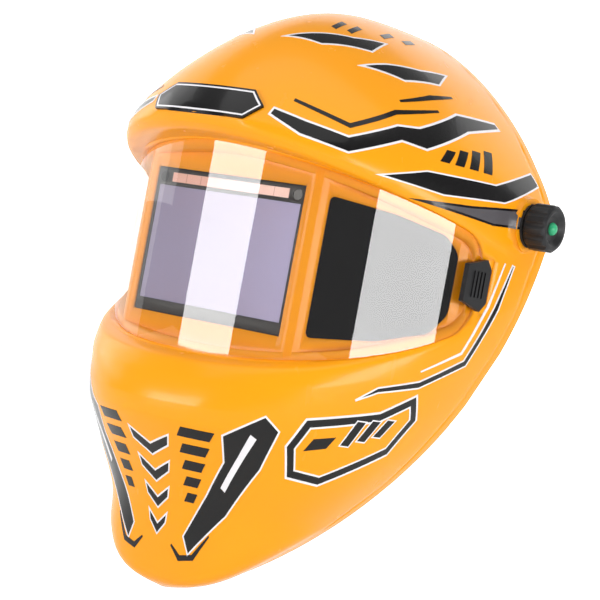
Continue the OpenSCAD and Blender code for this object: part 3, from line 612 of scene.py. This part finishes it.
def dress(node):
    """Gives a CAD node its finish and leaves its mesh as it is"""
    piece = frame["nodes"][node]
    if not piece.material_slots:
        piece.data.materials.append(None)
    for material_slot in piece.material_slots:
        material_slot.link = "OBJECT"
        material_slot.material = LOOKS[SLOTS[node]]


for node_name in frame["nodes"]:
    dress(node_name)


# ---------------------------------------------------------------- shell
def normals_at(rows, i, j):
    """Outward normal of the skin at a row and a place in it"""
    def near(a, b):
        return rows[min(len(rows) - 1, max(0, a))][min(len(rows[0]) - 1, max(0, b))]
    return (near(i, j + 1) - near(i, j - 1)).cross(near(i + 1, j) - near(i - 1, j)).normalized()


def shifted(rows, distance):
    """Rows moved inwards by a number, or by a function of the place in the ring"""
    return [[p - normals_at(rows, i, j) * (distance(rows, i, j) if callable(distance) else distance)
             for j, p in enumerate(row)] for i, row in enumerate(rows)]


def groove(rows, i, j):
    """Depth of the fine step line that runs round just inside the rear edge"""
    deep, from_rim, half_width = 0.7, 7.5, 0.9
    rim = rows[i][0] if j < len(rows[0]) / 2 else rows[i][-1]
    away = (rows[i][j] - rim).length
    return deep * max(0, 1 - abs(away - from_rim) / half_width) if rows[i][j].y < rim.y else 0


LENS_END = math.radians(LENS_SWEEP)
LATCH_LEAN = math.atan2(LENS_A * math.cos(LENS_END), LENS_B * math.sin(LENS_END))
LATCH_Z = (lens_low(LENS_SWEEP) + lens_high(LENS_SWEEP)) / 2
LATCH_H = 28
# Pivot boss inside the shell and stop peg below it, both from BOSS_X outwards, and the pad outside
BOSS_X = 104
BOSS_R = 11
BOSS_RUN = 20
PEG_R = 3
PEG_DROP = 19
PAD_R = 15
PAD_T = 7
PAD_IN = 6
BOLT_R = 5
# How far the edges of the window holes and of the filter's hole lap what seats behind them
WINDOW_LAP = 3.5
FILTER_LAP_X = 3.5
FILTER_LAP_Z = 5.5
SEAT_PLAY = 0.3


def at_latch(bm, side):
    """Sets a shape at the lens end: X points out of the lens and Y to the rear"""
    place = Matrix.Translation(lens_xy(LENS_SWEEP) + Vector((0, 0, LATCH_Z)))
    bmesh.ops.transform(bm, matrix=place @ Matrix.Rotation(-LATCH_LEAN, 4, "Z"), verts=bm.verts)
    return mirrored(bm, side)


def faces_wearer(polygon):
    """True for the shell's inner face, whose normals point at the head"""
    centre = polygon.center
    head = Vector((0, -0.07, min(0.02, max(-0.15, centre.z))))
    return polygon.normal.dot((centre - head).normalized()) < -0.2


def pivot_rod(name, side, start, radius, run, sides=48, drop=0):
    """Rod along the pivot's axis, or so far below it, from start outwards"""
    return solid(rod((side * start, -PIVOT_Y, PIVOT_Z - drop), (side, 0, 0), radius, run, sides), name)


def make_shell():
    """The whole moulding: outer skin less cavity, visor recess, bores, windows and latch slots"""
    outer_rows = [[ring_point(s, q) for q in RING] for s in STATIONS]
    inner_rows = shifted([[ring_point(s, q) for q in INNER_RING] for s in INNER_STATIONS], SHELL_T)
    outer = solid(loft(shifted(outer_rows, groove)), "shell")
    # The cavity runs on behind the rear edge, so that the shell is open there
    run = Vector((0, 15, 0))
    cavity = solid(loft([[row[0] + run, *row, row[-1] + run] for row in inner_rows]), "cavity")
    bosses, pads, holes = [], [], []
    for side in (1, -1):
        bosses.append(pivot_rod("boss", side, BOSS_X, BOSS_R, BOSS_RUN))
        bosses.append(pivot_rod("peg", side, BOSS_X, PEG_R, BOSS_RUN, 20, PEG_DROP))
        pads.append(pivot_rod("pivot_pad", side, HALF_W - PAD_IN, PAD_R, PAD_T, 96))
        holes.append(pivot_rod("bolt_bore", side, BOSS_X - 5, BOLT_R + FIT, 30, 64))
        holes.append(solid(window_prism(-WINDOW_LAP, 20, 20, side), "window_hole"))
        # Clears what would stand in front of the window
        holes.append(solid(window_prism(SEAT_PLAY, 12, -1.2, side), "window_clearance"))
        # Slot for the latch's stem, and the recess that its grip slides in
        holes.append(solid(at_latch(block((-16, -6.5, -5), (4, 1.5, 5)), side), "latch_slot"))
        holes.append(solid(at_latch(block((0, -14, -LATCH_H / 2 - 0.5), (20, 9, LATCH_H / 2 + 0.5)), side),
                           "latch_recess"))
    hole_x, hole_z = ADF_W / 2 - FILTER_LAP_X, ADF_H / 2 - FILTER_LAP_Z
    holes.append(solid(block((-hole_x, -PAN_FRONT - 10, ADF_Z - hole_z),
                             (hole_x, -PAN_FRONT + 10, ADF_Z + hole_z)), "filter_hole"))
    seat_x, seat_z = ADF_W / 2 + SEAT_PLAY, ADF_H / 2 + SEAT_PLAY
    holes.append(solid(block((-seat_x, -PAN_FRONT + SHELL_T + 0.1, ADF_Z - seat_z),
                             (seat_x, -PAN_FRONT + 32, ADF_Z + seat_z)), "filter_seat"))
    carve(cavity, visor_cutters(SHELL_T, SHELL_T, 60) + bosses)
    carve(outer, visor_cutters(0, 0, 40))
    carve(outer, pads, "UNION")
    carve(outer, [cavity])
    carve(outer, holes)
    outer.data.materials.clear()
    for look in ("shell_gloss", "inside"):
        outer.data.materials.append(LOOKS[look])
    for polygon in outer.data.polygons:
        polygon.material_index = 1 if faces_wearer(polygon) else 0
    return outer


shell = make_shell()
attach(shell, "shell")
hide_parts("shell")


# ---------------------------------------------------------------- decals and the raised plate
skin = BVHTree.FromPolygons([v.co / MM for v in shell.data.vertices],
                            [p.vertices[:] for p in shell.data.polygons])
# Looks of black film with a white rim
EDGED = ["print_black", "print_white"]


# How far a film stands out from the shell, on its own or over another one
FILM_T = 0.2
OVER_FILM = 0.32
# Round chart: the radius that its lengths are measured on, its centre, and a distance outside the shell
CHART_R = 100
CHART_Y = -95
OUTSIDE = 300


def round_head(s, z):
    """Ray from outside at s millimetres round the head from the front, at height z"""
    turn = s / CHART_R
    out = Vector((math.sin(turn), -math.cos(turn), 0))
    return Vector((0, CHART_Y, z)) + out * OUTSIDE, -out


def from_above(x, y):
    """Ray straight down onto the crown"""
    return Vector((x, y, OUTSIDE)), Vector((0, 0, -1))


def sticker(name, outlines, looks, rims=(), chart=round_head, lift=FILM_T, step=2.6, sides=(1, -1)):
    """Film with the given outlines, laid on the shell; each rim is a width and the number of its look"""
    bm = bmesh.new()
    for side in sides:
        for outline in outlines:
            bm.faces.new([bm.verts.new((side * x, 0, y)) for x, y in outline])
    bmesh.ops.recalc_face_normals(bm, faces=bm.faces)
    inner = bm.faces[:]
    for width, look in rims:
        made = bmesh.ops.inset_individual(bm, faces=inner, thickness=width, use_even_offset=True)
        for face in made["faces"]:
            face.material_index = look
    for axis in (0, 2):
        low, high = min(v.co[axis] for v in bm.verts), max(v.co[axis] for v in bm.verts)
        normal = Vector((axis == 0, 0, axis == 2))
        for i in range(1, int((high - low) / step) + 1):
            bmesh.ops.bisect_plane(bm, geom=bm.verts[:] + bm.edges[:] + bm.faces[:], dist=0.001,
                                   plane_co=normal * (low + i * step), plane_no=normal)
    bmesh.ops.triangulate(bm, faces=bm.faces)
    made = bmesh.ops.extrude_face_region(bm, geom=bm.faces[:])
    top = set(new_verts(made))
    for v in bm.verts:
        start, way = chart(v.co.x, v.co.z)
        place, normal, _, _ = skin.ray_cast(start, way)
        if normal.dot(way) > 0:
            normal = -normal
        v.co = place + normal * (lift if v in top else -0.3)
        v.co.y = max(v.co.y, 0.05 - BROW_REACH)
    bmesh.ops.recalc_face_normals(bm, faces=bm.faces)
    return finish_mesh(bm, name, [LOOKS[look] for look in looks], "shell")


def stripe(path, widths):
    """Outline of a stripe along a path, with a width at each of its points"""
    points = [Vector(p) for p in path]
    left, right = [], []
    for i, p in enumerate(points):
        before = (p - points[i - 1]).normalized() if i else None
        after = (points[i + 1] - p).normalized() if i + 1 < len(points) else None
        along = ((before or after) + (after or before)).normalized()
        across = Vector((-along.y, along.x)) * widths[i] / 2 / max(0.5, along.dot(after or before))
        left.append(p + across)
        right.append(p - across)
    return [p[:] for p in left + right[::-1]]


def slanted(x, y, width, height, lean):
    """Outline of a bar whose top leans to the rear"""
    return [(x, y), (x + width, y), (x + width + lean, y + height), (x + lean, y + height)]


# Brow: a black band with pale edges from the plate back to the rim, and fine lines above it
sticker("brow_band", [stripe([(40, 25), (58, 19), (82, 15), (112, 27), (128, 27), (168, 42), (206, 47)],
                             [5, 9, 9, 9, 12, 10, 4])], EDGED, [(1.1, 1)])
sticker("brow_line", [stripe([(50, 33), (82, 25), (112, 38), (150, 45)], [1.6, 2.4, 2.4, 1.2]),
                      stripe([(118, 45), (150, 52), (176, 56)], [1.2, 2.4, 1])], ["print_black"])
# Temple: a long tapered wedge, slanted bars above it and a grey shadow shape under it
sticker("temple_wedge", [[(98, 3), (128, 11), (176, 13), (212, 26), (214, 19), (182, 4), (140, 0)]],
        EDGED, [(0.8, 1)])
sticker("temple_bars", [slanted(137 + 10.5 * i, 17.5, 6.5, 7 + 1.8 * i, 7) for i in range(4)],
        ["print_black"])
sticker("temple_shade", [[(120, -5), (160, -1.5), (198, 4), (206, -6), (176, -9)]],
        ["print_grey", "print_black"], [(1.2, 1)])
# Line from the knob down to the cheek
sticker("knob_line", [stripe([(196, -27), (190, -52), (178, -84), (150, -99), (124, -105), (112, -112)],
                             [2.2, 4.2, 4.6, 4.6, 3.6, 1.2])], EDGED, [(0.9, 1)])
sticker("knob_line_fine", [stripe([(190, -27), (184, -52), (173, -79), (148, -92)], [0.8, 1.6, 1.6, 0.8])],
        ["print_white"])
# Cheek: a slanted frame with three bars and a tick in it
sticker("cheek_frame", [[(79, -141), (87, -125), (130, -116), (152, -104), (160, -118), (149, -139),
                         (106, -160), (84, -158)]],
        ["shell_gloss", "print_black", "print_white"], [(1.2, 2), (3.8, 1), (1.0, 2)])
sticker("cheek_bars", [slanted(110 + 10 * i, -137 + 3.4 * i, 7, 15 - 2 * i, 7) for i in range(3)],
        EDGED, [(0.7, 1)], lift=OVER_FILM)
sticker("cheek_tick", [[(90, -142), (103, -139), (107, -132.5), (94, -135)]], ["print_black"], lift=OVER_FILM)
# Chin: narrowing chevrons in the middle, short bars beside them and a tapered wedge
# with a pale slash and a hook under it
sticker("chin_chevrons", [[(-w, z), (0, z - 7), (w, z), (w - 1.5, z - 7), (0, z - 14), (1.5 - w, z - 7)]
                          for w, z in ((15, -146), (13, -160), (11, -174), (9, -188))],
        EDGED, [(0.9, 1)], sides=(1,))
sticker("chin_bars", [slanted(20 + 0.6 * i, -146 - 8.6 * i, 19 - 3 * i, 5, 2.5) for i in range(5)],
        ["print_black"])
sticker("chin_wedge", [[(45, -141), (66, -127), (75, -134), (69, -156), (53, -184), (29, -209), (23, -199),
                        (38, -174), (47, -155)]], EDGED, [(1.0, 1)])
sticker("chin_slash", [[(60, -138), (63.5, -140), (50, -171), (47, -169), (55, -151)]],
        ["print_white"], lift=OVER_FILM)
sticker("chin_hook", [stripe([(14, -205), (22, -211), (33, -209), (43, -196)], [1.2, 3, 3, 1])],
        ["print_black"])
# Crown: swept blades and short dashes either side of the middle line
sticker("crown_blades", [[(9, -152), (30, -143), (46, -118), (41, -98), (33, -120), (20, -138)],
                         [(50, -136), (66, -112), (70, -84), (62, -66), (60, -92), (54, -116)]],
        EDGED, [(1.0, 1)], chart=from_above)
sticker("crown_dashes", [slanted(x, y, 3.4, 12, -2.4)
                         for x, y in ((20, -124), (26.5, -118), (33, -96), (37, -80))],
        ["print_black"], chart=from_above)

# Raised plate on the brow: black with a pale line, left blank
sticker("brow_plate", [[(-36, 26), (-28, 34), (28, 34), (36, 26), (28, 18), (-28, 18)]],
        EDGED, [(1.0, 0), (0.9, 1)], lift=1.3, step=2.5, sides=(1,))


# ---------------------------------------------------------------- lens and side windows
lens = finish_mesh(loft(slab_loops(lambda q: lens_xy(q, -LENS_T), lens_xy, 0)), "cover_lens_clear",
                   [LOOKS["clear_lens"]], "shell")
carve(lens, [solid(at_latch(block((-10, -7, -5.2), (10, 13, 5.2)), side), "lens_notch") for side in (1, -1)])
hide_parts("cover_lens")
for side, hand in ((1, "left"), (-1, "right")):
    pane = finish_mesh(window_prism(-0.2, 0.3, 2.4, side), "side_pane_" + hand, [LOOKS["dark_window"]],
                       "shell")
    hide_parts("side_window_" + hand)
    finish_mesh(window_prism(0.75, 0.15, 0.9, side), "side_pane_edge_" + hand, [LOOKS["print_white"]],
                "shell")


# ---------------------------------------------------------------- moulded pieces with eased edges
# Edges that turn by more degrees than this are rounded
SHARP = 32


def merged(node):
    """The node's mesh in millimetres, with its triangles joined into faces"""
    bm = bmesh.new()
    bm.from_mesh(frame["nodes"][node].data)
    bmesh.ops.scale(bm, vec=(1 / MM, 1 / MM, 1 / MM), verts=bm.verts)
    bmesh.ops.remove_doubles(bm, verts=bm.verts, dist=0.02)
    bmesh.ops.dissolve_limit(bm, angle_limit=math.radians(0.8), verts=bm.verts, edges=bm.edges)
    return bm


def eased(node, width, rides=True):
    """The node's own shape, its sharp edges rounded up to a width; a width of 0 leaves them as they are"""
    bm = merged(node)
    sharp = [e for e in bm.edges if len(e.link_faces) == 2 and e.calc_face_angle(0) > math.radians(SHARP)]
    if width:
        bmesh.ops.bevel(bm, geom=sharp, offset=width, offset_type="OFFSET", affect="EDGES", segments=2,
                        profile=0.5, material=-1, clamp_overlap=True)
    body = BODY[node] if rides else None
    piece = finish_mesh(bm, node + "_moulded", [LOOKS[SLOTS[node]]], body)
    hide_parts(node)
    return piece


# Largest width of the rounding, and the nodes that have it: a mesh's short edges hold it back further
EASED = {
    0.7: ["ratchet_cover", "pivot_slider_left", "pivot_slider_right"],
    0.5: ["tension_knob_left", "tension_knob_right", "ratchet_knob", "ratchet_plate", "adf_housing"],
    0.3: ["adf_holder", "side_frame_left", "side_frame_right", "battery_trays", "front_band",
          "crown_strap_left", "crown_strap_right", "shade_dial", "sensitivity_dial", "delay_dial",
          "test_button", "grind_button", "tilt_stop_left", "tilt_stop_right", "pivot_bolt_left",
          "pivot_bolt_right"],
    0: ["lens_latch_left", "lens_latch_right", "knob_cap_left", "knob_cap_right", "strap_rivets",
        "arc_sensors", "battery_cells"],
}
for width, nodes in EASED.items():
    for node_name in nodes:
        eased(node_name, width)


# Toothed tails, which are fixed to the side rails and which the rear unit carries along where they cross in
# it: eased copies that ride on no body here
for hand in ("left", "right"):
    tail = eased("band_tail_" + hand, 0.25, rides=False)
    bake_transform(tail)


# ---------------------------------------------------------------- sewn pads
def cushion(node, name, shrink, swell, voxel, channels):
    """Foam pad: the node's form drawn in, filled by a cloth simulation, then sewn down along its channels"""
    bm = merged(node)
    bmesh.ops.triangulate(bm, faces=bm.faces)
    for v, normal in [(v, v.normal.copy()) for v in bm.verts]:
        v.co -= normal * shrink
    pad = finish_mesh(bm, name, [LOOKS["pad_fabric"]], BODY[node], smooth_angle=180)
    remesh = pad.modifiers.new("remesh", "REMESH")
    remesh.mode, remesh.voxel_size, remesh.use_smooth_shade = "VOXEL", voxel * MM, True
    baked(pad)
    start = [v.co.copy() for v in pad.data.vertices]
    cloth = pad.modifiers.new("cloth", "CLOTH")
    cloth.settings.use_pressure, cloth.settings.uniform_pressure_force = True, 4
    cloth.settings.effector_weights.gravity = 0
    scene = bpy.context.scene
    for step in range(1, 21):
        scene.frame_set(step)
    filled = pad.evaluated_get(bpy.context.evaluated_depsgraph_get()).data
    moved = [v.co.copy() for v in filled.vertices]
    pad.modifiers.clear()
    scene.frame_set(1)
    for v, a, b in zip(pad.data.vertices, start, moved):
        v.co = a + (b - a).normalized() * min((b - a).length, swell * MM) if (b - a).length > 1e-7 else a
    for v, normal in [(v, v.normal.copy()) for v in pad.data.vertices]:
        v.co -= normal * channels(v.co / MM) * MM
    smooth = pad.modifiers.new("smooth", "SUBSURF")
    smooth.levels = smooth.render_levels = 1
    baked(pad)
    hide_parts(node)


def sewn(distance, pitch):
    """Depth of sewn channels that repeat at a pitch"""
    half, deep = 2.2, 0.7
    return deep * max(0, 1 - abs((distance + pitch / 2) % pitch - pitch / 2) / half)


cushion("sweatband", "sweatband_sewn", 0.9, 0.8, 3, lambda p: sewn(100 * math.atan2(p.x, -p.y), 21))
cushion("nape_pad", "nape_pad_sewn", 0.9, 0.8, 2.6, lambda p: sewn(p.x, 14.4))


# ---------------------------------------------------------------- stage and light
FLOOR_Z = -320
FLOOR_HALF = 6000
SCREEN_R = 3600
SCREEN_H = 4000
STAGE_WHITE = (0.9, 0.9, 0.9)


def shown(finish, strength):
    """Adds white light for the camera, and for what metal and glass show, to a stage surface's own shading"""
    path = [finish.node("ShaderNodeLightPath", {}, {}, name) for name in
            ("Is Camera Ray", "Is Glossy Ray", "Is Transmission Ray")]
    finish.set("Emission Color", (1, 1, 1, 1))
    finish.set("Emission Strength", (path[0] + path[1] + path[2]).clamp() * strength)
    finish.set("Specular IOR Level", 0.0)
    return finish.material


def stage_floor():
    bm = bmesh.new()
    bmesh.ops.create_grid(bm, x_segments=1, y_segments=1, size=FLOOR_HALF)
    bmesh.ops.translate(bm, vec=(0, 0, FLOOR_Z), verts=bm.verts)
    floor = finish_mesh(bm, "floor", [shown(Finish("floor_white", STAGE_WHITE, 0.9), 0.62)], None)


def stage_backdrop(name, front):
    """White screen round the back or the front of the stage; the front one is seen by the camera alone"""
    bm = bmesh.new()
    line = bmesh.ops.create_circle(bm, segments=96, radius=SCREEN_R, cap_ends=False)["verts"]
    behind = {v: math.cos(math.atan2(v.co.x, -v.co.y) - AZIMUTH - math.pi) for v in line}
    bmesh.ops.delete(bm, geom=[v for v in line if (behind[v] > 0.42 if front else behind[v] < 0.35)],
                     context="VERTS")
    made = bmesh.ops.extrude_edge_only(bm, edges=bm.edges[:])
    bmesh.ops.translate(bm, vec=(0, 0, SCREEN_H), verts=new_verts(made))
    bmesh.ops.translate(bm, vec=(0, 0, FLOOR_Z - 10), verts=bm.verts)
    screen = finish_mesh(bm, name, [shown(Finish(name + "_white", STAGE_WHITE, 0.9), 1.0)], None)
    screen.visible_diffuse = screen.visible_glossy = screen.visible_transmission = not front
    screen.visible_shadow = not front


def softbox(name, azimuth, elevation, distance, width, height, power):
    """Area lamp that faces the object: angles in degrees, lengths in metres and power in watts"""
    light = bpy.data.lights.new(name, "AREA")
    light.shape, light.size, light.size_y, light.energy = "RECTANGLE", width, height, power
    lamp = bpy.data.objects.new(name, light)
    collection.objects.link(lamp)
    turn, rise = math.radians(azimuth), math.radians(elevation)
    back = Vector((math.sin(turn) * math.cos(rise), -math.cos(turn) * math.cos(rise), math.sin(rise)))
    lamp.location = AIM + back * distance
    lamp.rotation_mode = "QUATERNION"
    lamp.rotation_quaternion = (-back).to_track_quat("-Z", "Y")


stage_floor()
stage_backdrop("backdrop_back", False)
stage_backdrop("backdrop_front", True)
softbox("key", -20, 2, 1.6, 1.0, 0.3, 10)
softbox("side", 86, 2, 1.6, 1.36, 0.3, 14)
softbox("left", -80, 20, 2.0, 1.2, 1.2, 7)
softbox("top", 20, 70, 2.0, 2.6, 2.2, 22)
world = bpy.data.worlds.new("studio")
bpy.context.scene.world = world
world.use_nodes = True
world.node_tree.nodes["Background"].inputs["Color"].default_value = (1, 1, 1, 1)
world.node_tree.nodes["Background"].inputs["Strength"].default_value = 0.35
bpy.context.scene.view_settings.view_transform = "Standard"
